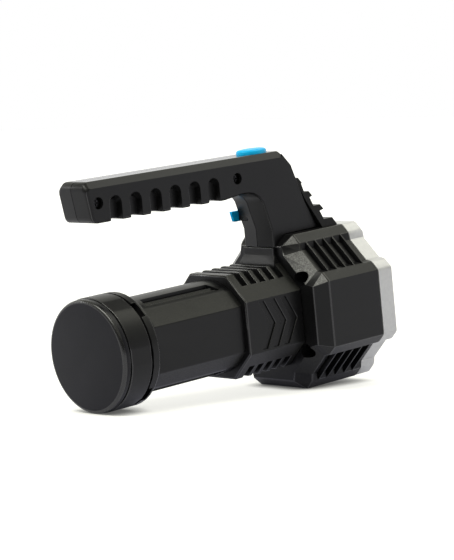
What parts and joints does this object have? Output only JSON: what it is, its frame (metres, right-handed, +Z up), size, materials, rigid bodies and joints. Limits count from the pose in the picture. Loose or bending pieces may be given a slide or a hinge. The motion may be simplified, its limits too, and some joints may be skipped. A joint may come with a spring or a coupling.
{
  "type": "flashlight",
  "caption": "Handheld flashlight with a square finned head, octagonal barrel, top grip on a front post, press button, hinged port cover and screw-off tail.",
  "frame": {"origin": "on the barrel axis, at the flat face of the tail disc", "axes": "+X along the beam towards the bezel, +Z up towards the handle, +Y to the left side when the beam points away"},
  "size_m": [0.1621, 0.0738, 0.1154],
  "materials": {
    "black_abs": "satin black moulded plastic",
    "silver_abs": "silver coated plastic",
    "steel": "plated",
    "grey_plastic": "moulded",
    "battery_wrap": "shrink wrap",
    "brass": "stamped",
    "green_laminate": "circuit board",
    "white_laminate": "circuit board",
    "yellow_resin": "clear resin",
    "aluminium": "turned",
    "chrome": "mirror coated",
    "clear": "clear",
    "black_rubber": "moulded",
    "switch_case": "moulded",
    "blue_button": "satin",
    "blue_rubber": "moulded"
  },
  "bodies": {
    "housing": {"barrel_housing": "black_abs", "battery_holder": "grey_plastic", "battery_cell": "battery_wrap", "front_contact": "brass", "driver_board": "green_laminate", "head_shell": "black_abs", "bezel_screw_1": "steel", "bezel_screw_2": "steel", "bezel_screw_3": "steel", "bezel_screw_4": "steel", "bezel": "silver_abs", "lens": "clear", "lens_gasket": "black_rubber", "reflector": "chrome", "led_board": "white_laminate", "led_emitter": "yellow_resin", "heat_sink": "aluminium", "handle_shell_right": "black_abs", "handle_shell_left": "black_abs", "handle_screw_rear": "steel", "handle_screw_front": "steel", "top_switch": "switch_case", "switch_board": "green_laminate", "charge_port": "steel"},
    "tail_disc": {"tail_disc": "black_abs", "tail_gasket": "black_rubber", "contact_plate": "steel", "contact_spring": "steel"},
    "tail_ring": {"tail_ring": "black_abs"},
    "top_button": {"top_button": "blue_button", "switch_plunger": "grey_plastic"},
    "port_cover": {"port_cover": "blue_rubber"}
  },
  "joints": [
    {"name": "tail_slide", "type": "slide", "parent": "housing", "child": "tail_disc", "axis": [-1, 0, 0], "range_m": [0, 0.008]},
    {"name": "tail_ring_turn", "type": "hinge", "parent": "tail_disc", "child": "tail_ring", "pos_m": [0, 0, 0], "axis": [-1, 0, 0], "range_deg": [0, 1440]},
    {"name": "top_button_press", "type": "slide", "parent": "housing", "child": "top_button", "axis": [0, 0, -1], "range_m": [0, 0.001], "stiffness_N_per_m": 400, "springref_m": -0.002},
    {"name": "port_cover_swing", "type": "hinge", "parent": "housing", "child": "port_cover", "pos_m": [0.11755, 0.01135, 0.0466], "axis": [0, 0, -1], "range_deg": [0, 110]}
  ],
  "couplings": [
    {"joint": "tail_ring_turn", "follows": "tail_slide", "rad_per_m": 3141.5}
  ]
}
